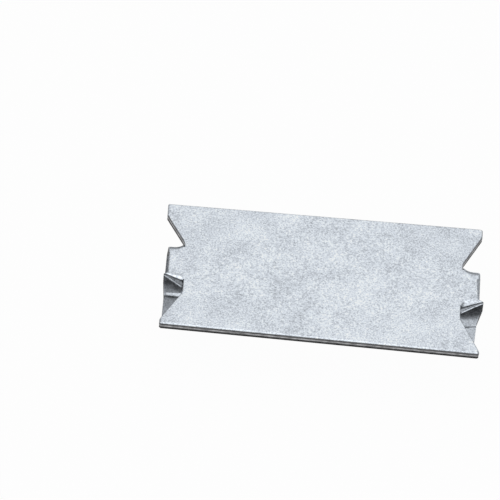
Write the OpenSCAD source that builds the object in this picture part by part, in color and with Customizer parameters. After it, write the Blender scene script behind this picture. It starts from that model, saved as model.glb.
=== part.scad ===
// Nail plate: one rectangle of sheet steel with four prongs.
// Each end of the sheet is slit along two slanting lines. The two slivers that the slits
// free are folded down beside the middle tab and become prongs, and the notches that they
// leave have the prongs' own flat outline. The plate is driven onto timber by its prongs.
//
// Z = 0 is the face that bears on the timber, X runs along the plate and Y across it.
// The prongs point down.

/* [Plate] */
// Length of the plate, end to end
plate_l = 69.85; // [50:0.05:160]
// Width of the plate, the width of the timber's edge
plate_w = 38.1; // [36:0.1:90]
// Thickness of the sheet
sheet_t = 1.6; // [1:0.1:2.2]
// Radius of the plate's four outer corners
corner_r = 0.6; // [0.2:0.1:1.2]
// Radius of the rolled-over edge that shearing leaves round the outer face
roll_r = 0.3; // [0.1:0.05:0.6]

/* [Prongs] */
// Height from the outer face of the plate to the prong tips
prong_h = 12.6; // [9:0.1:12.8]
// Width of a prong at its root, also the depth of the notch that it leaves
prong_w = 4.3; // [3:0.1:7]
// Straight stretch of the prong's inner edge, from the fold to where it starts to slant
root_h = 1.8; // [1:0.1:4]
// Width of the blunt tip
tip_w = 0.4; // [0.2:0.1:1]
// Radius where the straight and the slanting edge meet
shoulder_r = 4; // [1:0.1:5]
// Length of the small flat ear at a prong's root, that stands past the tab's end
ear_l = 0.6; // [0.3:0.1:1.2]

/* [Folds] */
// Width of the flat tab between the two folds at one end
tab_w = 7.6; // [5:0.1:8.6]
// How far folding draws the tab's end back from the plate's end
tab_in = 0.5; // [0.4:0.1:1]
// Inner radius of the fold
fold_r = 1.1; // [0.6:0.1:2]
// Angle that a prong is folded through, a little less than square so the tips splay
fold_angle = 85; // [75:1:90]
// Part of the sheet's thickness, from the inner side, that keeps its length in a fold
fold_k = 0.33; // [0.25:0.01:0.5]

/* [Hidden] */
$fn = 96;
// Amount that a cutting shape runs past the sheet, so that no face is shared with it
past = 1;
// Hair's breadth by which an arc crosses a straight side that it runs into, so that the two
// meet at one point and not in a sliver
hair = 0.00002;
half_l = plate_l / 2;
half_w = plate_w / 2;
// Where the fold starts, measured from the plate's middle line
fold_y = tab_w / 2;
// Length of flat sheet that the fold uses
fold_len = (fold_r + fold_k * sheet_t) * fold_angle * PI / 180;
// Straight length of the prong past the fold
leg_l = (prong_h - sheet_t - fold_r * (1 - cos(fold_angle))) / sin(fold_angle);
// How much the prong narrows for each millimetre of its slanting length
taper = (prong_w - tip_w) / (leg_l - root_h);

function unit(v) = v / norm(v);

// What is cut off to round the corner at `at`, whose sides run towards `a` and `b`. It
// stands out past the corner, so that it shares no side with what it is cut from.
module corner_waste(at, a, b, radius) {
    u = unit(a - at);
    v = unit(b - at);
    half_angle = acos(u * v) / 2;
    reach = radius / tan(half_angle);
    centre = at + unit(u + v) * radius / sin(half_angle);
    difference() {
        polygon([at + u * reach, 2 * at - centre, at + v * reach, centre]);
        translate(centre) circle(radius + hair);
    }
}

// Outline of one prong laid flat, along Y to its tip. X = 0 is its outer edge and its width
// runs towards -X. Y = 0 is where the straight leg starts, and the outline runs `back` before
// it. With `whole` it runs on to a point and past the sheet's end, as the notch does.
module prong_outline(back, whole) {
    shoulder = [-prong_w, root_h];
    point = [0, leg_l + tip_w / taper];
    difference() {
        polygon(whole
            ? [[past, -back], [-prong_w, -back], shoulder, point, [past, point.y]]
            : [[0, -back], [-prong_w, -back], shoulder, [-tip_w, leg_l], [0, leg_l]]);
        corner_waste(shoulder, [-prong_w, -back], point, shoulder_r);
    }
}

// Section across the sheet, `span` wide, with the upper edges rolled over.
module sheet_section(span) {
    half = span / 2;
    difference() {
        translate([-half, 0]) square([span, sheet_t]);
        for (m = [0, 1]) mirror([m, 0])
            corner_waste([half, sheet_t], [0, sheet_t], [half, 0], roll_r);
    }
}

// The flat sheet with its round corners and four notches, Z = 0 at its under face. The
// outline is trimmed by the sheet's two sections, which roll the long edges and the ends.
module blank() {
    intersection() {
        linear_extrude(sheet_t) difference() {
            square([plate_l, plate_w], center = true);
            for (mx = [0, 1], my = [0, 1]) mirror([mx, 0]) mirror([0, my]) {
                corner_waste([half_l, half_w], [0, half_w], [half_l, 0], corner_r);
                translate([half_l, fold_y + fold_len]) prong_outline(fold_len, true);
            }
        }
        rotate([90, 0, 90]) translate([0, 0, -half_l]) linear_extrude(plate_l)
            sheet_section(plate_w);
        rotate([90, 0, 0]) translate([0, 0, -half_w]) linear_extrude(plate_w)
            sheet_section(plate_l);
    }
}

// What is taken off the +X tab: a strip past its drawn-back end, and the edge rolled there.
// It runs past both sides of the tab, where the notches are open.
module tab_waste() {
    tab_end = half_l - tab_in;
    reach = fold_y + past;
    translate([0, reach, 0]) rotate([90, 0, 0]) linear_extrude(2 * reach) {
        translate([tab_end, -past]) square([tab_in + past, sheet_t + 2 * past]);
        corner_waste([tab_end, sheet_t], [0, sheet_t], [tab_end, 0], roll_r);
    }
}

// Section of a folded strip, filled in from the fold's centre out to `radius`: its flat root,
// the fold and the straight leg. Both ends run `ahead` on.
module fold_filled(radius, ahead) {
    translate([-ear_l - ahead, 0]) square([ear_l + ahead, radius]);
    intersection() {
        circle(radius);
        polygon([[0, 0], [-ear_l, 0], [-ear_l, radius], [radius, radius], [radius, -radius]]);
    }
    rotate(-fold_angle) square([leg_l + past + ahead, radius - hair]);
}

// One folded prong, at the +X +Y end: the strip's section carried across it, cut to the
// prong's outline square to the leg. Its outer edge is flush with the plate's end, and its
// flat root reaches ear_l into the tab.
module prong() {
    outer_r = fold_r + sheet_t;
    translate([half_l, fold_y, -fold_r]) intersection() {
        rotate([90, 0, 90]) translate([0, 0, -prong_w - past])
            linear_extrude(prong_w + 2 * past) difference() {
                fold_filled(outer_r, 0);
                fold_filled(fold_r, past);
            }
        rotate([-fold_angle, 0, 0]) translate([0, 0, -ear_l - past])
            linear_extrude(ear_l + outer_r + 2 * past) prong_outline(ear_l + outer_r, false);
    }
}

module nail_plate() {
    color("lightsteelblue") {
        difference() {
            blank();
            for (mx = [0, 1]) mirror([mx, 0, 0]) tab_waste();
        }
        for (mx = [0, 1], my = [0, 1]) mirror([mx, 0, 0]) mirror([0, my, 0]) prong();
    }
}

nail_plate();
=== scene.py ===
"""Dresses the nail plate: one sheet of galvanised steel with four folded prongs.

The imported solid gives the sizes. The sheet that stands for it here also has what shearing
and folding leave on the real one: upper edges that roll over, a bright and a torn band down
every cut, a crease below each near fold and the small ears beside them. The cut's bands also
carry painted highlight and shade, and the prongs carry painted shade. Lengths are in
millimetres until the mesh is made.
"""

import logging
import math
from dataclasses import dataclass
from enum import Enum

import bmesh
import bpy
import numpy as np
from mathutils import Matrix, Vector
from mathutils.geometry import delaunay_2d_cdt


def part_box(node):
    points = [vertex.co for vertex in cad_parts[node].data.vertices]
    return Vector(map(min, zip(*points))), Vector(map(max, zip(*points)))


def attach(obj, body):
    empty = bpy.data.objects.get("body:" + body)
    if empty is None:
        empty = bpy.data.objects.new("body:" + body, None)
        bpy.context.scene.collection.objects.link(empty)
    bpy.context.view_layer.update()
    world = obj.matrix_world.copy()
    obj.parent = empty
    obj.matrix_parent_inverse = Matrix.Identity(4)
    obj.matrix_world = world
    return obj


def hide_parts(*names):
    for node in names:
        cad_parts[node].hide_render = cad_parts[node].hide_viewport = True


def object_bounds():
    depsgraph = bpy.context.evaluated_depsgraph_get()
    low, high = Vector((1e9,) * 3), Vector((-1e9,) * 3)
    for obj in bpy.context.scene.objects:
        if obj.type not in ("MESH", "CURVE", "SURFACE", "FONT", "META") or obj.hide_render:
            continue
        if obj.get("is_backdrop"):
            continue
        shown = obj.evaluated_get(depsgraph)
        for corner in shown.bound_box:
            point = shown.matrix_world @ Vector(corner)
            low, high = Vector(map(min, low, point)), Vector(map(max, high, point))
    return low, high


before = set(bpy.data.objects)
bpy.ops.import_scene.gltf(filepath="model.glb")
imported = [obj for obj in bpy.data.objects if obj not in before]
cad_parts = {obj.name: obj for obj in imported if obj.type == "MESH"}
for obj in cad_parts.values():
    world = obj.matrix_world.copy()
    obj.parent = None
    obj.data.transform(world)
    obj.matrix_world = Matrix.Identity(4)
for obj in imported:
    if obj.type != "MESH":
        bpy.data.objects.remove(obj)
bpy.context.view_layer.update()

log = logging.getLogger("nail_plate")
NODE = "nail_plate"
BODY = "root"
MM = 0.001
FOLD_ANGLE = 85.0  # degrees that a prong is folded through
NEUTRAL = 0.33  # part of the thickness, from the inner side, that keeps its length in a fold
ARC_POINTS = 9  # points on each small arc of the outline

Point = tuple[float, float]
Colour = tuple[float, float, float, float]
WHITE: Colour = (1.0, 1.0, 1.0, 1.0)


def unit(v: np.ndarray) -> np.ndarray:
    """Each vector of an array, scaled to a length of one."""
    return v / np.linalg.norm(v, axis=-1, keepdims=True)


def smooth(t: np.ndarray) -> np.ndarray:
    """Rises from 0 to 1 as t does, level at both ends: 3t squared less 2t cubed."""
    t = np.clip(t, 0.0, 1.0)
    return t * t * (3.0 - 2.0 * t)


def spaced(start: float, stop: float, step: float) -> np.ndarray:
    """Even values from start to stop, at most step apart, both ends included."""
    return np.linspace(start, stop, max(2, math.ceil(abs(stop - start) / step) + 1))


def rounded_path(corners: list[tuple[float, float, float]], step: float) -> np.ndarray:
    """A polyline with its corners rounded.

    Each corner gives up a stretch of radius / tan(half its angle) on both of its sides, and
    an arc of that radius joins the two stretches' ends.

    Args:
        corners: x, y and radius of each corner; the first and last have no rounding.
        step: Longest distance between two points on a straight stretch.

    Returns:
        The points, one row each.
    """
    place = np.array([c[:2] for c in corners])
    parts, last = [], place[0]
    for before, at, after, radius in zip(
        place, place[1:], place[2:], [c[2] for c in corners[1:]]
    ):
        a, b = unit(before - at), unit(after - at)
        half = math.acos(float(a @ b)) / 2
        reach = radius / math.tan(half)
        centre = at + unit(a + b) * radius / math.sin(half)
        count = len(spaced(0.0, np.linalg.norm(at + a * reach - last), step))
        parts.append(np.linspace(last, at + a * reach, count)[:-1])
        turn = np.linspace(0.0, 1.0, ARC_POINTS)[:, None]
        chord = (at + a * reach) * (1 - turn) + (at + b * reach) * turn
        parts.append((centre + unit(chord - centre) * radius)[:-1])
        last = at + b * reach
    count = len(spaced(0.0, np.linalg.norm(place[-1] - last), step))
    parts.append(np.linspace(last, place[-1], count))
    return np.concatenate(parts)


def left_normals(path: np.ndarray) -> np.ndarray:
    """Unit normals on the left of a path, which is where the metal of the sheet is."""
    run = unit(np.gradient(path, axis=0))
    return np.stack([-run[:, 1], run[:, 0]], axis=1)


def rays(start: float, stop: float) -> np.ndarray:
    """Unit vectors on an arc between two angles in degrees, as cosine and sine."""
    turn = np.radians(np.linspace(start, stop, ARC_POINTS))
    return np.stack([np.cos(turn), np.sin(turn)], axis=1)


class Corner(Enum):
    """The plate's four corners, as the signs of their X and Y."""

    RIGHT_FAR = (1, 1)
    LEFT_FAR = (-1, 1)
    LEFT_NEAR = (-1, -1)
    RIGHT_NEAR = (1, -1)


class Finish(Enum):
    """The two finishes of the sheet, as material indices of its mesh."""

    FACE = 0
    CUT = 1


@dataclass(frozen=True)
class Bend:
    """A stretch of a skin, straight or evenly curved. Its angles point down from level."""

    length: float
    start: float
    end: float


@dataclass(frozen=True)
class Skin:
    """The section of one face of the sheet, from where a fold starts to the prong's tip."""

    bends: tuple[Bend, ...]
    tip: Point  # out from the fold's start, and down from the face

    def at(self, q: np.ndarray) -> np.ndarray:
        """Places along the section, each bend an arc and the last stretch straight.

        Args:
            q: The count of stretches passed, so that 2.5 is halfway through the third.

        Returns:
            Distance out from the fold's start, and height, last.
        """
        place = np.zeros(q.shape + (2,))
        end = np.zeros(2)
        for k, bend in enumerate(self.bends):
            share = np.clip(q - k, 0.0, 1.0)
            place += self.chord(bend, share)
            end += self.chord(bend, np.array(1.0))
        last = np.maximum(q - len(self.bends), 0.0)[..., None]
        return place + last * (np.array([self.tip[0], -self.tip[1]]) - end)

    @staticmethod
    def chord(bend: Bend, share: np.ndarray) -> np.ndarray:
        """How far a share of one stretch reaches.

        A stretch of length l that turns from angle a to b is an arc of radius l / (b - a).
        Its chord is that radius times the differences of the two angles' sines and cosines.

        Args:
            bend: The stretch.
            share: How much of it is passed, from 0 to 1.

        Returns:
            The distance out and the distance up, last.
        """
        a = math.radians(bend.start)
        turn = math.radians(bend.end) - a
        if abs(turn) < 1e-6:
            way = np.array([math.cos(a), -math.sin(a)])
            return share[..., None] * bend.length * way
        now = a + turn * share
        both = [np.sin(now) - math.sin(a), np.cos(now) - math.cos(a)]
        return np.stack(both, axis=-1) * bend.length / turn


@dataclass(frozen=True)
class Side:
    """One edge of a prong: the length of flat sheet in each stretch, and its two skins."""

    flat: tuple[float, ...]
    top: Skin
    under: Skin

    def knots(self, fold_y: float) -> np.ndarray:
        """Where each stretch starts in the flat sheet, and where the last one ends."""
        return fold_y + np.concatenate([[0.0], np.cumsum(self.flat)])


@dataclass(frozen=True)
class Notch:
    """One corner's notch and prong; x counts outwards from the plate's end."""

    fold_y: float  # where the fold starts
    outer: Side
    inner: Side
    tab_x: float  # the tab's end
    ear_x: float  # the ear at the prong's root, where it stands out most
    ear_y: float
    leg_x: float  # the prong's outer edge past the fold
    leg_y: float
    wall_x: float  # the notch's inner wall
    slit_y: float  # where the slit beside the fold ends
    slit_r: float
    kink_y: float  # where the notch's wall starts to slant
    mouth_y: float  # where the notch leaves the plate's end
    mouth_r: float
    corner_r: float
    root_l: float  # straight stretch of the prong's inner edge, past its last bend
    tuck: float  # how far the inner edge closes the slit, below the sheet
    tab_mid: float  # width of the rolled edge at the middle of the tab's end
    tab_roll: float  # the same beside the fold
    edge_roll: float  # width of the rolled edge inside the prong
    ear_roll: float  # width of the rolled edge outside the prong
    wall_roll: float  # width of the rolled edge along the notch
    body_roll: float  # width of the rolled edge round the rest of the quarter
    horn_x: float  # how far the horn beside the notch stands out
    bow: float  # how late the fold turns from its outer to its inner section
    painted_shade: tuple[Point, ...]  # stretches passed, and how dark the zinc is painted there, for shade and dark reflections


def plain_side(late: float, radius: float, thick: float, tip: Point) -> Side:
    """A side folded through one even arc, after a flat stretch.

    The flat sheet in the arc is as long as the arc of its neutral layer.

    Args:
        late: The flat stretch before the arc.
        radius: The arc's inner radius.
        thick: The sheet's thickness.
        tip: Where the upper skin ends, out and down.

    Returns:
        The side.
    """
    turn = math.radians(FOLD_ANGLE)
    leg = tip[1] - (radius + thick) * (1 - math.cos(turn))
    start = Bend(late, 0, 0)
    return Side(
        (late, (radius + NEUTRAL * thick) * turn, leg),
        Skin((start, Bend((radius + thick) * turn, 0, FOLD_ANGLE)), tip),
        Skin((start, Bend(radius * turn, 0, FOLD_ANGLE)), (tip[0] - thick, tip[1] - thick)),
    )


def torn_side(
    top: tuple[Bend, ...], lead: float, radius: float, thick: float, tip: Point
) -> Side:
    """A side whose upper skin tore as it folded, over an even arc of the under skin.

    The under skin has a flat lead in two stretches, the arc in five, and then one straight
    stretch for each that the upper skin has left.

    Args:
        top: The stretches of the upper skin, down to the straight leg.
        lead: Flat stretch of the under skin before its arc.
        radius: The under skin's radius.
        thick: The sheet's thickness.
        tip: Where the upper skin ends, out and down.

    Returns:
        The side.
    """
    arcs = 5
    step = FOLD_ANGLE / arcs
    arc = radius * math.radians(step)
    under = (Bend(lead / 2, 0, 0), Bend(lead / 2, 0, 0)) + tuple(
        Bend(arc, step * k, step * (k + 1)) for k in range(arcs)
    )
    straight = tuple(Bend(b.length, FOLD_ANGLE, FOLD_ANGLE) for b in top[len(under):])
    upper = Skin(top, tip)
    end = upper.at(np.array([float(len(top))]))[0]
    leg = math.hypot(tip[0] - end[0], tip[1] + end[1])
    return Side(
        tuple(b.length for b in top) + (leg,),
        upper,
        Skin(under + straight, (tip[0] - thick, tip[1] - thick)),
    )


@dataclass(frozen=True)
class SheetSizes:
    """Sizes of the whole sheet."""

    half_l: float
    half_w: float
    thick: float
    height: float
    shoulder_r: float = 4.0
    tip_w: float = 0.4


@dataclass(frozen=True)
class Edge:
    """A stretch of an outline: its points, their inward normals and its rolled band's width."""

    path: np.ndarray
    normal: np.ndarray
    width: np.ndarray

    def ring(self) -> np.ndarray:
        """The inner edge of the rolled band: each point plus its normal times the width."""
        return self.path + self.normal * self.width[:, None]

    def turned(self) -> "Edge":
        """The same stretch run through backwards."""
        return Edge(self.path[::-1], self.normal[::-1], self.width[::-1])


@dataclass
class Quarter:
    """The flat outline of one quarter of the sheet, with its prong still flat.

    It is worked out for the corner at +X +Y. Once built, it has its whole outline in `edge`,
    which points of it are on the prong in `on_prong`, the two sides of the prong's grid in
    `right` and `left`, and the outline of the flat cap in `loop`, which passes before that
    grid.
    """

    sizes: SheetSizes
    notch: Notch
    roll_w: float = 0.5  # width at which the rolled edge has its full height
    roll_part: float = 0.32  # most of the prong's width that one rolled edge takes
    ear_step: float = 0.7  # length of the step out to the ear
    ear_l: float = 0.15  # straight stretch of the ear
    ear_fade: Point = (1.2, 1.0)  # where the band's width changes before the ear, how long
    mouth_fade: Point = (1.0, 1.4)  # the same before the notch's mouth
    grid_from: float = -1.5  # where the prong's own grid starts, before the fold
    rows_before: int = 12  # its rows there
    fold_step: float = 0.1  # longest step between two rows in the fold
    leg_step: float = 0.3  # the same on the straight leg
    tab_step: float = 0.25  # the same along the tab's end
    body_step: float = 0.3  # the same round the notch, the horn and the long edge
    blend_w: float = 1.2  # how wide the fold fades out where it starts, beside the slit
    fade_w: float = 0.35  # how wide it fades out past the slit's end
    clear: float = 0.03  # room between the grid's rows and the arc at the slit's end
    tip_arc: float = math.pi - 0.45  # how far the outline turns round the tip
    tip_gap: float = 0.013  # part of the leg that the last row stops before the tip
    tip_clear: float = 0.02  # part of the leg before the tip that has no other row
    tuck_drop: Point = (0.4, 0.5)  # how far below the sheet the slit starts to close, how long
    tuck_w: float = 0.05  # how wide that fades out at the slit
    across: int = 28  # strips of the grid across the prong

    def __post_init__(self) -> None:
        """Works out the places that the outline and the fold share."""
        n, s = self.notch, self.sizes
        self.y_out = n.outer.knots(n.fold_y)
        self.y_in = n.inner.knots(n.fold_y)
        self.wall_x = s.half_l + n.wall_x
        self.slit_x = self.wall_x + n.slit_r
        self.edge_x = self.wall_x + 2 * n.slit_r
        self.slit_end = np.array([self.slit_x, n.slit_y + n.slit_r])
        shoulder = self.y_in[-2] + n.root_l
        self.inner_line = rounded_path(
            [
                (self.edge_x, 0.0, 0.0),
                (self.edge_x, shoulder, s.shoulder_r),
                (s.half_l + n.leg_x - s.tip_w, self.y_in[-1], 0.0),
            ],
            self.fold_step,
        )

    def outer_x(self, y: np.ndarray) -> np.ndarray:
        """X of the tab's end, of the ear that stands out past it and of the prong's edge.

        It steps smoothly from the tab's end out to the ear, just before the ear's place, and
        then runs straight from the ear to the leg.

        Args:
            y: Distance from the plate's middle line, in the flat sheet.

        Returns:
            The distance from the plate's middle.
        """
        n = self.notch
        rise = smooth((y - n.ear_y + self.ear_step) / self.ear_step)
        fall = np.clip((y - n.ear_y - self.ear_l) / (n.leg_y - n.ear_y), 0.0, 1.0)
        x = n.tab_x + (n.ear_x - n.tab_x) * rise + (n.leg_x - n.ear_x) * fall
        return self.sizes.half_l + x

    def inner_x(self, y: np.ndarray) -> np.ndarray:
        """X of the prong's inner edge: straight, then slanting to the tip past a shoulder."""
        return np.interp(y, self.inner_line[:, 1], self.inner_line[:, 0])

    def locate(self, x: np.ndarray, y: np.ndarray) -> tuple[np.ndarray, np.ndarray]:
        """Where points lie on the prong.

        A stretch starts and ends on straight or bowed lines that join the places where it
        does so at the two edges, and a point's part of it is linear between them.

        Args:
            x: Distance from the plate's middle, along it.
            y: Distance from the plate's middle line, in the flat sheet.

        Returns:
            The share of the way across the prong, and the count of stretches passed there.
        """
        outer = self.outer_x(y)
        share = np.clip((outer - x) / (outer - self.inner_x(y)), 0.0, 1.0)
        bowed = share ** self.notch.bow
        q = np.zeros(np.shape(share))
        last = len(self.y_in) - 2
        for k in range(last + 1):
            low = self.y_out[k] + (self.y_in[k] - self.y_out[k]) * bowed
            high = self.y_out[k + 1] + (self.y_in[k + 1] - self.y_out[k + 1]) * bowed
            part = np.maximum((y - low) / (high - low), 0.0)
            q += part if k == last else np.minimum(part, 1.0)
        return share, q

    def rows(self) -> tuple[np.ndarray, np.ndarray]:
        """The prong's rows, closer where a stretch is short.

        Each row joins the prong's two sides at the same place in their sections. The last
        one lies just before the tip, so that the tip's rolled edge can pass round it.

        Returns:
            Y of each row at the inner and at the outer side.
        """
        n = self.notch
        before = n.fold_y + np.linspace(self.grid_from, 0.0, self.rows_before + 1)[:-1]
        last = len(n.inner.flat) - 1
        parts = []
        for k, (a, b) in enumerate(zip(n.inner.flat, n.outer.flat)):
            step = self.leg_step if k == last else self.fold_step
            count = max(6, math.ceil(max(a, b) / step))
            parts.append(np.linspace(k, k + 1, count + 1)[:-1])
        q = np.concatenate(parts)
        q = np.append(q[q < last + 1 - self.tip_clear], last + 1 - self.tip_gap)
        ticks = np.arange(len(self.y_in))
        inner = np.concatenate([before, np.interp(q, ticks, self.y_in)])
        outer = np.concatenate([before, np.interp(q, ticks, self.y_out)])
        return inner, outer

    def outer_edge(self, tab: np.ndarray, rows: np.ndarray) -> Edge:
        """The outline from the tab's middle to the prong's tip.

        Its band's width runs evenly along the tab, fades into the ear's, and is no more than
        its part of the prong past the leg's start.

        Args:
            tab: Y of the points on the tab's end.
            rows: Y of the prong's rows at its outer side.

        Returns:
            The stretch.
        """
        n = self.notch
        y = np.concatenate([tab, rows])
        path = np.stack([self.outer_x(y), y], axis=1)
        width = n.tab_mid + (n.tab_roll - n.tab_mid) * np.clip(y / n.fold_y, 0.0, 1.0)
        ahead, length = self.ear_fade
        width = width + (n.ear_roll - width) * smooth((y - n.ear_y + ahead) / length)
        most = self.roll_part * (self.outer_x(y) - self.inner_x(y))
        width = np.where(y > n.leg_y, np.minimum(width, most), width)
        return Edge(path, left_normals(path), width)

    def inner_edge(self, rows: np.ndarray) -> Edge:
        """The outline from the bottom of the slit's end to the prong's tip.

        Args:
            rows: Y of the prong's rows past the slit's end, at its inner side.

        Returns:
            The stretch, a quarter of the slit's round end and then the prong's inner edge.
        """
        n = self.notch
        ray = rays(-90.0, 0.0)
        path = np.stack([self.inner_x(rows), rows], axis=1)
        most = self.roll_part * (self.outer_x(rows) - self.inner_x(rows))
        return Edge(
            np.concatenate([self.slit_end + n.slit_r * ray, path]),
            np.concatenate([ray, -left_normals(path)]),
            np.concatenate([np.full(len(ray), n.edge_roll), np.minimum(n.edge_roll, most)]),
        )

    def tip_edge(self, outer: Edge, inner: Edge, u: np.ndarray) -> Edge:
        """The outline round the prong's tip.

        Its ring is the grid's last row, and the outline stands off from it by the band's
        width, in a direction that turns from the outer side to the inner one.

        Args:
            outer: The stretch that ends at the tip.
            inner: The stretch on its other side, which ends there too.
            u: The share of the way across, one value a row.

        Returns:
            The stretch.
        """
        ring = self.right[-1] * (1 - u) + self.left[-1] * u
        swing = self.tip_arc * smooth(u)
        out = np.concatenate([np.cos(swing), np.sin(swing)], axis=1)
        width = outer.width[-1] * (1 - u[:, 0]) + inner.width[-1] * u[:, 0]
        return Edge(ring + out * width[:, None], -out, width)

    def slit_back(self) -> Edge:
        """The other quarter of the slit's round end, towards the notch's wall.

        Returns:
            The stretch, without the two points that its neighbours have.
        """
        n = self.notch
        ray = rays(-90.0, -180.0)[1:-1]
        width = np.linspace(n.edge_roll, n.wall_roll, ARC_POINTS)[1:-1]
        return Edge(self.slit_end + n.slit_r * ray, ray, width)

    def body_edge(self) -> Edge:
        """The outline of the notch, the horn and the long edge, to the plate's middle.

        It is a polyline with rounded corners, and its band's width changes smoothly near the
        notch's mouth.

        Returns:
            The stretch.
        """
        n, s = self.notch, self.sizes
        horn = s.half_l + n.horn_x
        path = rounded_path(
            [
                (self.wall_x, self.slit_end[1], 0.0),
                (self.wall_x, n.kink_y, s.shoulder_r),
                (horn, n.mouth_y, n.mouth_r),
                (horn, s.half_w, n.corner_r),
                (0.0, s.half_w, 0.0),
            ],
            self.body_step,
        )
        ahead, length = self.mouth_fade
        past = smooth((path[:, 1] - n.mouth_y + ahead) / length)
        width = n.wall_roll + (n.body_roll - n.wall_roll) * past
        return Edge(path, left_normals(path), width)

    def build(self) -> None:
        """Joins the outline, and works out the loop of the flat cap and the prong's grid.

        The rows before the slit's end are a seam across the sheet, those beside the end lie
        on the ring round it, and the rest run from one ring to the other.
        """
        ring_r = self.notch.slit_r + self.notch.edge_roll
        slit_x, slit_y = self.slit_end
        rows_in, rows_out = self.rows()
        head = rows_in < slit_y - ring_r - self.clear
        tail = rows_in > slit_y + self.clear
        arc_in = slit_y + ring_r * rays(-90.0, 0.0)[:, 1]
        arc_out = np.interp(arc_in, rows_in, rows_out)
        rows_out = np.concatenate([rows_out[head], arc_out, rows_out[tail]])
        tab = spaced(0.0, rows_out[0], self.tab_step)[:-1]
        outer = self.outer_edge(tab, rows_out)
        inner = self.inner_edge(rows_in[tail])
        first = int(head.sum())
        seam = np.stack([np.full(first, slit_x), rows_in[head]], axis=1)
        self.right = outer.ring()[len(tab):]
        self.left = np.concatenate([seam, inner.ring()])
        u = np.linspace(0.0, 1.0, self.across + 1)[1:-1, None]
        back, body = self.slit_back(), self.body_edge()
        edges = [outer, self.tip_edge(outer, inner, u), inner.turned(), back, body]
        self.edge = Edge(
            np.concatenate([e.path for e in edges]),
            np.concatenate([e.normal for e in edges]),
            np.concatenate([e.width for e in edges]),
        )
        on_prong = sum(len(e.path) for e in edges[:3])
        self.on_prong = np.arange(len(self.edge.path)) < on_prong
        self.loop = np.concatenate(
            [
                outer.ring()[: len(tab) + 1],
                self.right[0] * (1 - u) + self.left[0] * u,
                self.left[: first + 1],
                back.ring(),
                body.ring(),
            ]
        )

    def bend(self, x: np.ndarray, y: np.ndarray, t: np.ndarray) -> np.ndarray:
        """Folds points of the flat prong down.

        Each skin is the straight line between its sections at the prong's two edges, and a
        point inside the sheet lies between its two skins. Towards the slit, the fold fades
        out into the flat sheet, and below the sheet the inner edge closes the slit a little.

        Args:
            x: Distance from the plate's middle, along it.
            y: Distance from the plate's middle line, in the flat sheet.
            t: Height above the sheet's under face.

        Returns:
            The folded points, with x, y and z last.
        """
        n, thick = self.notch, self.sizes.thick
        share, q = self.locate(x, y)
        bowed = (share ** n.bow)[..., None]
        top = n.outer.top.at(q) * (1 - bowed) + n.inner.top.at(q) * bowed
        under = n.outer.under.at(q) * (1 - bowed) + n.inner.under.at(q) * bowed
        top[..., 1] += thick
        level = (t / thick)[..., None]
        folded = under * (1 - level) + top * level
        folded[..., 0] += n.fold_y + np.minimum(y - n.fold_y, 0.0)
        flat = np.stack([y, t], axis=-1)
        before = np.clip((n.slit_y - y) / (n.slit_y - n.fold_y), 0.0, 1.0)
        beside = n.slit_r + self.fade_w + self.blend_w * before
        past = smooth((y - n.slit_y - n.slit_r) / self.fade_w)
        free = np.maximum(smooth((x - self.slit_x) / beside), past)[..., None]
        folded = flat * (1 - free) + folded * free
        start, length = self.tuck_drop
        dropped = smooth((t - folded[..., 1] - start) / length)
        closing = n.tuck * share ** 4 * dropped * smooth((x - self.slit_x) / self.tuck_w)
        return np.concatenate([(x - closing)[..., None], folded], axis=-1)

    def painted_darkening(self, x: np.ndarray, y: np.ndarray) -> np.ndarray:
        """Painted shade on the zinc at points of the flat prong, from 0 to 1."""
        _, q = self.locate(x, y)
        return np.interp(q, *zip(*self.notch.painted_shade))


@dataclass(frozen=True)
class Rim:
    """The section of a sheared edge, from the upper face round to the under face.

    Shearing rolls the upper edge over, burnishes a band below it and tears the rest, which
    is set back a little.
    """

    roll_h: float = 0.3
    roll_share: float = 0.9  # part of the band's width that rolls, the rest is flat
    roll: tuple[Point, ...] = (  # the roll's points: inset and drop, as shares
        (1.0, 0.0), (0.88, 0.06), (0.66, 0.18), (0.44, 0.31), (0.24, 0.46), (0.1, 0.66),
        (0.02, 0.86), (0.0, 1.0),
    )
    burnish_from: float = 0.62  # heights of the bands' ends, as shares of the thickness
    burnish_to: float = 0.42
    tear_from: float = 0.36
    tear_mid: float = 0.2
    tear_to: float = 0.05
    set_back: float = 0.06
    cut_strip: int = 6  # the first strip of the section that is cut and not zinc

    def section(self, thick: float) -> tuple[np.ndarray, np.ndarray]:
        """The section's points.

        Args:
            thick: The sheet's thickness.

        Returns:
            Each point's inset as a share of the rolled width, and its height.
        """
        run, drop = np.array(self.roll).T
        roll = np.stack([run * self.roll_share, thick - self.roll_h * drop], axis=1)
        wall = np.array(
            [
                (0.0, thick * self.burnish_from),
                (0.0, thick * self.burnish_to),
                (self.set_back, thick * self.tear_from),
                (self.set_back * 1.6, thick * self.tear_mid),
                (self.set_back, thick * self.tear_to),
                (self.set_back * 3, 0.0),
                (1.0, 0.0),
            ]
        )
        both = np.concatenate([[(1.0, thick)], roll, wall])
        return both[:, 0], both[:, 1]

    def is_cut(self, count: int) -> np.ndarray:
        """Which of the strips between a section's points belong to the cut."""
        strip = np.arange(count - 1)
        return (strip >= self.cut_strip) & (strip < count - 2)


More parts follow.
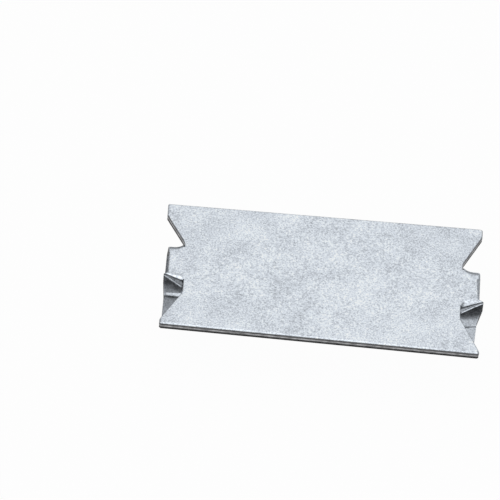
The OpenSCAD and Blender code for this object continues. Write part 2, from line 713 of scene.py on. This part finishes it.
@dataclass
class NailPlate:
    """The whole sheet: a flat cap above and below, a rim round them and four prongs."""

    sizes: SheetSizes
    notches: dict[Corner, Notch]
    rim: Rim
    twist: float = 0.36  # how far two opposite corners stand up, and the others down
    cap_step: float = 1.4  # spacing of the points inside the flat faces
    wall_column: int = 9  # the rim's column that its length is measured on
    weld: float = 2e-8  # metres within which two points are one

    def __post_init__(self) -> None:
        """Starts with an empty mesh."""
        self.points: list[np.ndarray] = []
        self.quads: list[np.ndarray] = []
        self.tris: list[np.ndarray] = []
        self.cuts: list[np.ndarray] = []
        self.runs: list[np.ndarray] = []
        self.painted_shades: list[np.ndarray] = []
        self.count = 0

    def add_points(self, points: np.ndarray, run: np.ndarray, painted_shade: np.ndarray) -> int:
        """Adds points.

        Args:
            points: The points, with x, y and z last.
            run: For each, its distance along the sheared edge, its depth and whether it is
                on a prong.
            painted_shade: For each, how dark the zinc is painted there for shade.

        Returns:
            The first one's number.
        """
        first = self.count
        self.points.append(points.reshape(-1, 3))
        self.runs.append(run.reshape(-1, 3))
        self.painted_shades.append(painted_shade.ravel())
        self.count += len(self.points[-1])
        return first

    def add_grid(
        self,
        points: np.ndarray,
        around: bool,
        flip: bool,
        cut: np.ndarray,
        run: np.ndarray,
        painted_shade: np.ndarray,
    ) -> None:
        """Adds a grid of quads.

        Args:
            points: Rows by columns by three.
            around: Whether the last row joins the first.
            flip: Whether the quads' order is turned round, so that they face outwards.
            cut: For each strip between two columns, whether it is part of a cut.
            run: As for add_points.
            painted_shade: As for add_points.
        """
        rows, cols = points.shape[:2]
        i = np.arange(rows if around else rows - 1)[:, None]
        j = np.arange(cols - 1)[None, :]
        nxt = (i + 1) % rows
        quad = np.stack(
            [i * cols + j, nxt * cols + j, nxt * cols + j + 1, i * cols + j + 1], axis=-1
        )
        if flip:
            quad = quad[..., ::-1]
        first = self.add_points(points, run, painted_shade)
        self.quads.append(quad.reshape(-1, 4) + first)
        self.cuts.append(np.broadcast_to(cut, quad.shape[:2]).ravel())

    def lift(self, x: np.ndarray, y: np.ndarray) -> np.ndarray:
        """How far the twist raises points: x times y, scaled so that corners rise by it."""
        return self.twist * x * y / (self.sizes.half_l * self.sizes.half_w)

    def place(self, xyz: np.ndarray, corner: Corner) -> np.ndarray:
        """Puts a quarter's points at their corner, and twists the sheet slightly.

        Args:
            xyz: The points, worked out for the corner at +X +Y.
            corner: Where they go.

        Returns:
            The points in their place.
        """
        sx, sy = corner.value
        x, y = xyz[..., 0] * sx, xyz[..., 1] * sy
        return np.stack([x, y, xyz[..., 2] + self.lift(x, y)], axis=-1)

    def add_prong(self, quarter: Quarter, corner: Corner) -> None:
        """Adds a prong's upper and under face: straight flat rows between its two sides, bent.

        Args:
            quarter: The quarter that the prong is part of.
            corner: Where it goes.
        """
        u = np.linspace(0.0, 1.0, quarter.across + 1)[None, :, None]
        flat = quarter.right[:, None] * (1 - u) + quarter.left[:, None] * u
        x, y = flat[..., 0], flat[..., 1]
        mirrored = corner.value[0] * corner.value[1] < 0
        for height, under in ((self.sizes.thick, False), (0.0, True)):
            folded = quarter.bend(x, y, np.full(x.shape, height))
            self.add_grid(
                self.place(folded, corner), False, mirrored != under,
                np.zeros(quarter.across, bool), np.ones(folded.shape), quarter.painted_darkening(x, y),
            )

    def rim_of(self, quarter: Quarter) -> tuple[np.ndarray, np.ndarray]:
        """A quarter's rim: the rim's section carried along its outline.

        A point is the outline's point plus its normal times the section's inset times the
        band's width, at the section's height. A narrower band rolls less deep.

        Args:
            quarter: The quarter, built.

        Returns:
            The rim's points, outline by section by three, and how dark the zinc is painted there
            for shade.
        """
        thick = self.sizes.thick
        inset, height = self.rim.section(thick)
        edge = quarter.edge
        deep = (inset[None, :] * edge.width[:, None])[..., None]
        flat = edge.path[:, None] + edge.normal[:, None] * deep
        depth = (thick - height) * edge.width[:, None] / quarter.roll_w
        rolls = height > thick - self.rim.roll_h - 1e-6
        t = np.where(rolls, thick - depth, height)
        x, y = flat[..., 0], flat[..., 1]
        still = np.stack([x, y, t], axis=-1)
        on_prong = quarter.on_prong[:, None]
        rim = np.where(on_prong[..., None], quarter.bend(x, y, t), still)
        return rim, quarter.painted_darkening(x, y) * on_prong

    def build(self) -> bpy.types.Object:
        """Joins the four quarters' outlines into one, and adds the rim, caps and prongs.

        Returns:
            The finished piece, one closed mesh.
        """
        rims, loops, prongs, painted_shades = [], [], [], []
        for corner in Corner:
            quarter = Quarter(self.sizes, self.notches[corner])
            quarter.build()
            self.add_prong(quarter, corner)
            rim, painted_darkening = self.rim_of(quarter)
            loop = np.column_stack([quarter.loop, np.zeros(len(quarter.loop))])
            turned = corner in (Corner.LEFT_FAR, Corner.RIGHT_NEAR)
            order = slice(None, None, -1 if turned else 1)
            rims.append(self.place(rim, corner)[order][:-1])
            loops.append(self.place(loop, corner)[order][:-1])
            prongs.append(quarter.on_prong[order][:-1])
            painted_shades.append(painted_darkening[order][:-1])
            log.info("%s: outline, fold and prong", corner.name.lower())
        self.add_rim(np.concatenate(rims), np.concatenate(prongs), np.concatenate(painted_shades))
        self.add_caps(np.concatenate(loops)[:, :2])
        return self.mesh_piece()

    def add_rim(self, rim: np.ndarray, on_prong: np.ndarray, painted_shade: np.ndarray) -> None:
        """Adds the sheared edge, and keeps where each point is on it for the finish.

        Args:
            rim: The whole rim's points, outline by section by three.
            on_prong: For each point of the outline, whether it is on a prong.
            painted_shade: For each point of the rim, how dark the zinc is painted for shade.
        """
        wall = rim[:, self.wall_column]
        step = np.linalg.norm(np.diff(wall, axis=0, append=wall[:1]), axis=1)
        along = np.cumsum(step)[:, None] - step[:, None]
        depth = np.linspace(0.0, 1.0, rim.shape[1])[None, :]
        run = np.stack(np.broadcast_arrays(along, depth, on_prong[:, None] * 1.0), axis=-1)
        self.add_grid(rim, True, True, self.rim.is_cut(rim.shape[1]), run, painted_shade)

    def add_caps(self, loop: np.ndarray) -> None:
        """Adds the two flat faces: triangles between the loop and an even grid inside it.

        A grid point is inside when a line from it towards +X crosses the loop an odd number
        of times, and it is kept when it is clear of the loop by most of a grid step.

        Args:
            loop: X and Y of the flat face's outline.
        """
        half_l, half_w, step = self.sizes.half_l, self.sizes.half_w, self.cap_step
        gx, gy = np.meshgrid(np.arange(-half_l, half_l, step), np.arange(-half_w, half_w, step))
        grid = np.stack([gx.ravel(), gy.ravel()], axis=1)
        nxt = np.roll(loop, -1, axis=0)
        spans = (loop[:, 1] > grid[:, 1:]) != (nxt[:, 1] > grid[:, 1:])
        rise = np.where(nxt[:, 1] == loop[:, 1], 1.0, nxt[:, 1] - loop[:, 1])
        cross = loop[:, 0] + (nxt - loop)[:, 0] * (grid[:, 1:] - loop[:, 1]) / rise
        inside = np.sum(spans & (cross > grid[:, :1]), axis=1) % 2 == 1
        gap = np.linalg.norm(grid[:, None] - loop[None], axis=2).min(axis=1)
        flat = np.concatenate([loop, grid[inside & (gap > 0.7 * step)]])
        made = delaunay_2d_cdt(
            [Vector(p) for p in flat.tolist()], [], [list(range(len(loop)))], 1, 1e-7
        )
        place = np.array([tuple(p) for p in made[0]])
        tris = np.array(made[2])
        a, b, c = (place[tris[:, k]] for k in range(3))
        turned = np.cross(b - a, c - a) < 0
        tris[turned] = tris[turned][:, ::-1]
        lift = self.lift(place[:, 0], place[:, 1])
        for height, under in ((self.sizes.thick, False), (0.0, True)):
            cap = np.column_stack([place, lift + height])
            first = self.add_points(cap, np.zeros(cap.shape), np.zeros(len(cap)))
            self.tris.append((tris[:, ::-1] if under else tris) + first)

    def mesh_piece(self) -> bpy.types.Object:
        """Turns the grids and caps into one closed mesh, welded where they meet.

        Returns:
            The piece, at the origin.
        """
        quads, tris = np.concatenate(self.quads), np.concatenate(self.tris)
        mesh = bpy.data.meshes.new("nail_plate_sheet")
        points = np.concatenate(self.points) * MM
        mesh.from_pydata(points.tolist(), [], quads.tolist() + tris.tolist())
        count = len(quads) + len(tris)
        cut = np.concatenate(self.cuts + [np.zeros(len(tris), bool)])
        slot = np.where(cut, Finish.CUT.value, Finish.FACE.value)
        mesh.polygons.foreach_set("use_smooth", np.ones(count, bool))
        mesh.polygons.foreach_set("material_index", slot.astype(np.int32))
        run = mesh.attributes.new("edge_run", "FLOAT_VECTOR", "POINT")
        run.data.foreach_set("vector", np.concatenate(self.runs).astype(np.float32).ravel())
        painted_shade = mesh.attributes.new("painted_shade", "FLOAT", "POINT")
        painted_shade.data.foreach_set("value", np.concatenate(self.painted_shades).astype(np.float32))
        work = bmesh.new()
        work.from_mesh(mesh)
        bmesh.ops.remove_doubles(work, verts=work.verts, dist=self.weld)
        bmesh.ops.dissolve_degenerate(work, edges=work.edges, dist=self.weld / 2)
        open_edges = sum(1 for e in work.edges if len(e.link_faces) != 2)
        log.info("sheet: %d faces, %d open edges", len(work.faces), open_edges)
        work.to_mesh(mesh)
        work.free()
        piece = bpy.data.objects.new("nail_plate_sheet", mesh)
        bpy.context.scene.collection.objects.link(piece)
        return piece

    def dress(self, piece: bpy.types.Object, finishes: dict[Finish, bpy.types.Material]) -> None:
        """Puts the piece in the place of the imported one, and gives it its finishes.

        Args:
            piece: The sheet.
            finishes: The material of each finish.
        """
        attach(piece, BODY)
        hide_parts(NODE)
        for finish in Finish:
            piece.data.materials.append(finishes[finish])
            log.info("%s: %s", piece.name, finishes[finish].name)


Value = bpy.types.NodeSocket | float | Colour


class Nodes:
    """A short way to write a node tree."""

    def __init__(self, tree: bpy.types.NodeTree) -> None:
        """Starts on an emptied tree."""
        self.tree = tree
        tree.nodes.clear()

    def add(
        self, kind: str, inputs: dict[str | int, Value] | None = None, **settings: object
    ) -> bpy.types.Node:
        """Adds a node.

        Args:
            kind: The node's type, without the leading ShaderNode.
            inputs: Sockets by name or number, each given a value or another node's output.
            settings: The node's own properties.

        Returns:
            The node.
        """
        node = self.tree.nodes.new("ShaderNode" + kind)
        for name, value in settings.items():
            setattr(node, name, value)
        for name, value in (inputs or {}).items():
            if isinstance(value, bpy.types.NodeSocket):
                self.tree.links.new(value, node.inputs[name])
            else:
                node.inputs[name].default_value = value
        return node

    def math(self, what: str, a: Value, b: Value = 0.0, c: Value = 0.0) -> Value:
        """The output of a Math node on up to three numbers or outputs."""
        return self.add("Math", {0: a, 1: b, 2: c}, operation=what).outputs[0]

    def noise(self, at: Value, size_mm: float, detail: float, rough: float = 0.5) -> Value:
        """Noise in space.

        Args:
            at: Where it is read.
            size_mm: About how large its features are.
            detail: How many finer layers it has.
            rough: How strong the finer layers are.

        Returns:
            The noise, from 0 to 1.
        """
        node = self.add(
            "TexNoise",
            {"Vector": at, "Scale": 1.0 / (size_mm * MM), "Detail": detail, "Roughness": rough},
        )
        return node.outputs["Fac"]

    def between(self, value: Value, low: float, high: float, a: float, b: float) -> Value:
        """Moves a value from one range to another, and keeps it in it.

        Args:
            value: What is moved.
            low: Start of the range that it comes from.
            high: End of that range.
            a: Start of the range that it goes to.
            b: End of that range.

        Returns:
            The moved value.
        """
        node = self.add(
            "MapRange",
            {"Value": value, "From Min": low, "From Max": high, "To Min": a, "To Max": b},
        )
        return node.outputs["Result"]

    def spread(self, noise: Value, down: float, up: float) -> Value:
        """Noise spread over a range: its middle part, 0.3 to 0.7, goes from down to up."""
        return self.between(noise, 0.3, 0.7, down, up)

    def tint(self, how: str, share: Value, a: Value, b: Value) -> Value:
        """Joins two colours.

        Args:
            how: The Mix node's blend type.
            share: How far the second colour is mixed in.
            a: The first colour.
            b: The second colour.

        Returns:
            The joined colour.
        """
        node = self.add("Mix", data_type="RGBA", blend_type=how)
        for slot, value in ((0, share), (6, a), (7, b)):
            if isinstance(value, bpy.types.NodeSocket):
                self.tree.links.new(value, node.inputs[slot])
            else:
                node.inputs[slot].default_value = value
        return node.outputs[2]

    def shaded(self, colour: Colour, shade: Value) -> Value:
        """A colour times a grey value."""
        grey = self.add("CombineColor", {0: shade, 1: shade, 2: shade}).outputs[0]
        return self.tint("MULTIPLY", 1.0, colour, grey)

    def ramp(self, value: Value, stops: tuple[Point, ...]) -> Value:
        """Turns a value into a grey, straight from each stop to the next.

        Args:
            value: What is turned, from 0 to 1.
            stops: Places and levels, in rising order.

        Returns:
            The grey.
        """
        node = self.add("ValToRGB", {0: value})
        steps = node.color_ramp.elements
        steps[0].position, steps[1].position = stops[0][0], stops[-1][0]
        for place, _ in stops[1:-1]:
            steps.new(place)
        for step, (_, level) in zip(steps, stops):
            step.color = (level, level, level, 1.0)
        return node.outputs[0]


@dataclass(frozen=True)
class ZincFace:
    """The galvanised face: pale bluish zinc, finely mottled, with bright and dull flecks."""

    colour: Colour = (0.745, 0.80, 0.87, 1.0)
    roughness: float = 0.30
    cloud_mm: float = 7.0
    cloud: Point = (-0.13, 0.11)  # how far each pattern darkens and lightens the zinc
    mottle_mm: float = 1.3
    mottle: Point = (-0.09, 0.09)
    fleck_mm: float = 0.36
    fleck: Point = (-0.36, 0.36)
    painted_darkening: Point = (-1.0, -0.72)  # what full painted shade takes off, from patch to patch

    def make(self) -> bpy.types.Material:
        """Builds the material: three sizes of noise, darkened by painted shade from an
        attribute.

        Returns:
            The material.
        """
        made = bpy.data.materials.new("galvanised_face")
        made.use_nodes = True
        n = Nodes(made.node_tree)
        at = n.add("TexCoord").outputs["Object"]
        cloud = n.noise(at, self.cloud_mm, 3.0)
        mottle = n.noise(at, self.mottle_mm, 4.0, 0.6)
        fleck = n.noise(at, self.fleck_mm, 2.0, 0.6)
        shade = n.math("ADD", n.spread(mottle, *self.mottle), n.spread(fleck, *self.fleck))
        shade = n.math("ADD", shade, n.spread(cloud, *self.cloud))
        # painted shade: an attribute darkens the prongs' folds and legs where they lie in shade
        # or reflect the dark
        painted_shade = n.add("Attribute", attribute_name="painted_shade").outputs["Fac"]
        painted_patches = n.math("MULTIPLY", painted_shade, n.spread(mottle, *self.painted_darkening))
        shade = n.math("MULTIPLY", n.math("ADD", shade, 1.0), n.math("ADD", painted_patches, 1.0))
        rough = n.spread(mottle, self.roughness - 0.08, self.roughness + 0.08)
        fine = n.add("Bump", {"Height": fleck, "Strength": 0.35, "Distance": 0.02 * MM})
        coarse = n.add("Bump", {"Height": mottle, "Strength": 0.4, "Distance": 0.04 * MM,
                                "Normal": fine.outputs[0]})
        shader = n.add("BsdfPrincipled", {"Base Color": n.shaded(self.colour, shade),
                                          "Metallic": 1.0, "Roughness": rough,
                                          "Normal": coarse.outputs[0]})
        n.add("OutputMaterial", {"Surface": shader.outputs[0]})
        return made


@dataclass(frozen=True)
class ShearedEdge:
    """The cut through the sheet: dull steel with a trace of zinc, scored through its depth."""

    colour: Colour = (0.60, 0.60, 0.61, 1.0)
    roughness: float = 0.45
    prong_cut_shade: float = 0.3  # how far the cut is painted darker round the prongs: painted shade under the sheet
    score: Point = (0.45, 1.55)
    score_scale: tuple[float, float, float] = (0.0006, 0.007, 0.0)  # along, and in depth
    # The levels are partly the cut's lighter burnish and darker tear, and partly painted light:
    # a painted dark line below the roll, a painted highlight stripe on the burnish and painted
    # shade, near black, at the bottom.
    cut_bands_and_painted_light: tuple[Point, ...] = (  # places on the rim's section, from its top, and levels: partly painted light
        (0.44, 0.5), (0.53, 0.08), (0.58, 0.4), (0.62, 1.0), (0.66, 0.6), (0.70, 0.15),
        (0.76, 0.2), (0.80, 0.06), (1.0, 0.04),
    )

    def make(self) -> bpy.types.Material:
        """Builds the material: burnish, tear and painted light in bands down the cut, times
        streaks.

        Returns:
            The material.
        """
        made = bpy.data.materials.new("sheared_edge")
        made.use_nodes = True
        n = Nodes(made.node_tree)
        run = n.add("Attribute", attribute_name="edge_run").outputs["Vector"]
        along = n.add("Mapping", {"Vector": run, "Scale": self.score_scale}).outputs[0]
        score = n.noise(along, 1.0, 3.0, 0.6)
        parts = n.add("SeparateXYZ", {0: run})
        # painted shade: the cut is painted darker round the prongs, which lie in the sheet's
        # shade
        painted_prong_shade = n.between(parts.outputs[2], 0.0, 1.0, 1.0, self.prong_cut_shade)
        # the bands down the cut: burnish and tear, with painted highlight and painted shade
        band = n.ramp(parts.outputs[1], self.cut_bands_and_painted_light)
        shade = n.math("MULTIPLY", n.spread(score, *self.score), band)
        shade = n.math("MULTIPLY", shade, painted_prong_shade)
        bump = n.add("Bump", {"Height": score, "Strength": 0.5, "Distance": 0.05 * MM})
        shader = n.add("BsdfPrincipled", {"Base Color": n.shaded(self.colour, shade),
                                          "Metallic": 1.0, "Roughness": self.roughness,
                                          "Normal": bump.outputs[0]})
        n.add("OutputMaterial", {"Surface": shader.outputs[0]})
        return made


@dataclass(frozen=True)
class Studio:
    """A white floor, a pale room with a bright panel overhead, and one soft lamp."""

    panel: float = 1.05  # levels of the room's parts, as the zinc reflects them
    back: float = 0.85
    front: float = 0.2
    low: float = 0.45
    side: float = 0.32
    horizon: float = 0.28
    aside: Point = (0.33, 0.55)  # how far to a side the room turns to its side level
    floor_half: float = 2.0
    floor_white: float = 0.85
    floor_seen: float = 0.97  # how far the floor is plain white to the camera
    floor_shine: float = 0.42  # and to reflections
    lamp_power: float = 0.3
    lamp_size: float = 0.6
    lamp_at: tuple[float, float, float] = (-0.15, 0.25, 0.8)

    def build(self, height: float) -> None:
        """Makes the room, the floor and the lamp.

        Args:
            height: The floor's height, in metres.
        """
        self.world()
        self.floor(height)
        self.lamp()
        log.info("studio: room, floor and lamp")

    def world(self) -> None:
        """The room: dim on the camera's side, bright overhead, pale at the back.

        The level depends on the angle from the front horizon, over the top, to the back
        one: the arctangent of a direction's height over its depth, as a share of a half
        turn. The camera itself sees plain white.
        """
        made = bpy.data.worlds.new("studio")
        made.use_nodes = True
        n = Nodes(made.node_tree)
        way = n.add("SeparateXYZ", {0: n.add("TexCoord").outputs["Generated"]})
        away = n.math("MULTIPLY", way.outputs[1], -1.0)
        turn = n.math("DIVIDE", n.math("ARCTAN2", way.outputs[2], away), math.pi)
        stops = (
            (0.0, self.low), (0.12, self.low), (0.22, self.front), (0.35, self.front),
            (0.43, self.panel), (0.60, self.panel), (0.70, self.back), (0.81, self.back),
            (0.92, self.horizon), (1.0, self.horizon),
        )
        level = n.ramp(turn, stops)
        aside = n.between(n.math("ABSOLUTE", way.outputs[0]), *self.aside, 0.0, 1.0)
        room = n.tint("MIX", aside, level, (self.side, self.side, self.side, 1.0))
        seen = n.add("LightPath").outputs["Is Camera Ray"]
        light = n.add("Background", {0: n.tint("MIX", seen, room, WHITE), 1: 1.0})
        n.add("OutputWorld", {0: light.outputs[0]})
        bpy.context.scene.world = made

    def floor(self, height: float) -> None:
        """A wide white floor that keeps a soft shadow.

        Args:
            height: The floor's height, in metres.
        """
        made = bpy.data.materials.new("white_floor")
        made.use_nodes = True
        n = Nodes(made.node_tree)
        path = n.add("LightPath")
        seen = n.math("MULTIPLY", path.outputs["Is Camera Ray"], self.floor_seen)
        seen = n.math("MULTIPLY_ADD", path.outputs["Is Glossy Ray"], self.floor_shine, seen)
        white = self.floor_white
        matt = n.add("BsdfDiffuse", {"Color": (white, white, white, 1.0)})
        glow = n.add("Emission", {"Color": WHITE, "Strength": 1.0})
        mix = n.add("MixShader", {0: seen, 1: matt.outputs[0], 2: glow.outputs[0]})
        n.add("OutputMaterial", {"Surface": mix.outputs[0]})
        half = self.floor_half
        mesh = bpy.data.meshes.new("floor")
        corners = [(-half, -half), (half, -half), (half, half), (-half, half)]
        mesh.from_pydata([(x, y, height) for x, y in corners], [], [(0, 1, 2, 3)])
        floor = bpy.data.objects.new("floor", mesh)
        floor.data.materials.append(made)
        bpy.context.scene.collection.objects.link(floor)
        floor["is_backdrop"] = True

    def lamp(self) -> None:
        """A large soft lamp above the plate, a little behind it, turned towards it.

        A lamp shines along its own -Z. Tilting it by the angle between that and the way to
        the plate, and then turning it to the way's heading, points it there.
        """
        light = bpy.data.lights.new("overhead", "AREA")
        light.shape, light.size, light.energy = "SQUARE", self.lamp_size, self.lamp_power
        lamp = bpy.data.objects.new("overhead", light)
        lamp.location = self.lamp_at
        x, y, z = unit(-np.array(self.lamp_at))
        lamp.rotation_euler = (math.acos(-z), 0.0, math.atan2(-x, y))
        bpy.context.scene.collection.objects.link(lamp)


@dataclass(frozen=True)
class View:
    """Where the camera stands: far off, from the front and above, with a long lens."""

    distance: float = 2.0
    azimuth: float = math.radians(-1.60)
    elevation: float = math.radians(44.67)
    roll: float = math.radians(6.25)
    aim: tuple[float, float, float] = (-0.01622, 0.00642, 0.0016)
    sensor: float = 36.0
    lens: float = 653.4864

    def make(self) -> None:
        """Makes the camera and gives it to the scene.

        Its way is the azimuth and the elevation as a vector, its level side is square to
        that, and both side and top are then turned by the roll.
        """
        data = bpy.data.cameras.new("camera")
        data.sensor_width, data.lens = self.sensor, self.lens
        data.clip_start, data.clip_end = 0.05, 20.0
        camera = bpy.data.objects.new("camera", data)
        ca, sa = math.cos(self.azimuth), math.sin(self.azimuth)
        ce, se = math.cos(self.elevation), math.sin(self.elevation)
        way = np.array([-sa * ce, ca * ce, -se])
        side = np.array([ca, sa, 0.0])
        up = np.cross(side, way)
        cr, sr = math.cos(self.roll), math.sin(self.roll)
        right, top = side * cr + up * sr, up * cr - side * sr
        place = np.array(self.aim) - self.distance * way
        turn = np.eye(4)
        turn[:3, 0], turn[:3, 1], turn[:3, 2], turn[:3, 3] = right, top, -way, place
        camera.matrix_world = Matrix(turn.tolist())
        bpy.context.scene.collection.objects.link(camera)
        bpy.context.scene.camera = camera
        log.info("camera: made")


def sizes_from_frame() -> SheetSizes:
    """The sheet's sizes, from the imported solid's box.

    Returns:
        The sizes, in millimetres.
    """
    low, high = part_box(NODE)
    return SheetSizes(
        half_l=high.x / MM,
        half_w=high.y / MM,
        thick=high.z / MM,
        height=(high.z - low.z) / MM,
    )


def far_notches(sizes: SheetSizes) -> dict[Corner, Notch]:
    """The two plain corners: a smooth fold that starts late beside the slit.

    Args:
        sizes: The sheet's sizes.

    Returns:
        The notches, by corner.
    """
    thick = sizes.thick
    rounding = 0.6  # how far the rounded tip reaches past the end of its section
    tip = (3.58, sizes.height - rounding)
    right = Notch(
        fold_y=4.39,
        outer=plain_side(0.05, 1.1, thick, tip),
        inner=plain_side(1.65, 0.35, thick, tip),
        tab_x=-0.05, ear_x=-0.1, ear_y=4.39, leg_x=-0.15, leg_y=8.6,
        wall_x=-4.1, slit_y=6.28, slit_r=0.06, kink_y=7.83, mouth_y=16.69, mouth_r=0.5,
        corner_r=0.6, root_l=1.0, tuck=0.0, tab_mid=0.75, tab_roll=1.05, edge_roll=0.4,
        ear_roll=0.4, wall_roll=0.2, body_roll=0.3, horn_x=0.0, bow=4.0,
        # painted shade on the prong, darker from its fold down its leg
        painted_shade=((1.0, 0.0), (2.0, 0.4), (3.0, 0.4)),
    )
    left = Notch(
        fold_y=4.17,
        outer=plain_side(0.05, 1.1, thick, tip),
        inner=plain_side(1.5, 0.35, thick, tip),
        tab_x=-1.0, ear_x=-0.85, ear_y=4.17, leg_x=-0.6, leg_y=8.2,
        wall_x=-4.3, slit_y=5.92, slit_r=0.06, kink_y=7.18, mouth_y=15.5, mouth_r=0.5,
        corner_r=0.33, root_l=1.0, tuck=0.0, tab_mid=0.3, tab_roll=0.3, edge_roll=0.4,
        ear_roll=0.35, wall_roll=0.2, body_roll=0.3, horn_x=0.0, bow=4.0,
        # painted shade on the prong, darker from its fold down its leg
        painted_shade=((1.0, 0.0), (1.6, 0.8), (3.0, 0.8)),
    )
    return {Corner.RIGHT_FAR: right, Corner.LEFT_FAR: left}


def near_notches(sizes: SheetSizes) -> dict[Corner, Notch]:
    """The two corners whose upper skin tore: an ear, a torn hollow, a ledge and a crease.

    Each corner has the upper skin's stretches along the prong's inner edge and along its
    outer one. The first seven lie over the under skin's lead and arc, and the rest over its
    straight leg.

    Args:
        sizes: The sheet's sizes.

    Returns:
        The notches, by corner.
    """
    thick = sizes.thick
    rounding = 0.15  # how far the rounded tip reaches past the end of its section
    tip = (4.8, sizes.height - rounding)
    lead = 1.3
    right_in = (
        Bend(1.0, 0, 10), Bend(1.6, 10, 28), Bend(0.5, 28, 72), Bend(0.7, 72, 86),
        Bend(0.12, 86, 20), Bend(0.3, 20, 15), Bend(0.32, 15, 60), Bend(0.9, 60, 68),
        Bend(2.2, 78, 92), Bend(0.3, 92, 35), Bend(0.45, 35, 86),
    )
    right_out = (
        Bend(0.35, 0, 6), Bend(0.35, 6, 12), Bend(0.14, 12, 50), Bend(0.1, 50, 50),
        Bend(0.1, 50, 18), Bend(0.15, 18, 18), Bend(0.3, 18, 38), Bend(3.2, 38, 62),
        Bend(1.8, 66, 86), Bend(0.2, 86, 80), Bend(0.4, 80, 85),
    )
    left_in = (
        Bend(0.8, 0, -10), Bend(1.5, -10, 30), Bend(0.35, 30, 60), Bend(1.1, 60, 66),
        Bend(0.12, 66, 20), Bend(0.25, 20, 15), Bend(0.32, 15, 50), Bend(0.6, 50, 60),
        Bend(0.4, 60, 20), Bend(0.7, 20, 24), Bend(0.5, 24, 86),
    )
    left_out = (
        Bend(0.35, 0, -4), Bend(0.3, -4, 8), Bend(0.1, 8, 45), Bend(0.1, 45, 45),
        Bend(0.1, 45, 15), Bend(0.2, 15, 18), Bend(0.3, 18, 40), Bend(3.2, 40, 60),
        Bend(0.4, 60, 30), Bend(0.6, 30, 34), Bend(0.4, 34, 86),
    )
    right = Notch(
        fold_y=2.36,
        outer=torn_side(right_out, lead, 0.8, thick, tip),
        inner=torn_side(right_in, lead, 0.8, thick, tip),
        tab_x=-0.05, ear_x=0.87, ear_y=3.09, leg_x=-0.2, leg_y=8.0,
        wall_x=-4.1, slit_y=4.78, slit_r=0.06, kink_y=8.86, mouth_y=18.3, mouth_r=0.7,
        corner_r=0.52, root_l=0.3, tuck=0.12, tab_mid=0.75, tab_roll=0.5, edge_roll=0.22,
        ear_roll=0.3, wall_roll=0.2, body_roll=0.48, horn_x=0.4, bow=1.0,
        # painted shade on the prong: bands of dark paint where the fold and leg lie in shade or
        # reflect the dark
        painted_shade=(
            (1.9, 0.0), (2.2, 0.95), (2.8, 0.9), (3.1, 0.35), (4.0, 0.2), (5.8, 0.0),
            (6.3, 0.95), (7.6, 0.85), (8.2, 0.1), (8.9, 0.05), (9.3, 1.0), (9.8, 0.8),
            (10.5, 0.1), (12.0, 0.2),
        ),
    )
    left = Notch(
        fold_y=2.53,
        outer=torn_side(left_out, lead, 0.7, thick, tip),
        inner=torn_side(left_in, lead, 0.7, thick, tip),
        tab_x=-1.0, ear_x=-0.17, ear_y=3.2, leg_x=-0.6, leg_y=8.2,
        wall_x=-4.6, slit_y=4.5, slit_r=0.06, kink_y=8.54, mouth_y=17.57, mouth_r=1.5,
        corner_r=0.52, root_l=0.3, tuck=0.12, tab_mid=0.3, tab_roll=0.35, edge_roll=0.22,
        ear_roll=0.4, wall_roll=0.2, body_roll=0.48, horn_x=0.0, bow=1.0,
        # painted shade on the prong: bands of dark paint where the fold and leg lie in shade or
        # reflect the dark
        painted_shade=(
            (1.9, 0.0), (2.2, 1.0), (2.9, 0.85), (3.5, 0.45), (4.0, 0.7), (5.0, 0.5),
            (5.8, 0.5), (6.3, 0.95), (7.6, 0.75), (8.2, 0.1), (9.6, 0.0), (10.2, 1.0),
            (10.9, 1.0), (11.2, 0.5), (12.0, 0.6),
        ),
    )
    return {Corner.RIGHT_NEAR: right, Corner.LEFT_NEAR: left}


def main() -> None:
    """Builds the sheet and its finishes, then the studio around it and the camera."""
    logging.basicConfig(level=logging.INFO, format="%(message)s")
    sizes = sizes_from_frame()
    plate = NailPlate(sizes, far_notches(sizes) | near_notches(sizes), Rim())
    piece = plate.build()
    plate.dress(piece, {Finish.FACE: ZincFace().make(), Finish.CUT: ShearedEdge().make()})
    Studio().build(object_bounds()[0].z)
    View().make()
    bpy.context.scene.view_settings.view_transform = "Standard"


if __name__ == "__main__":
    main()
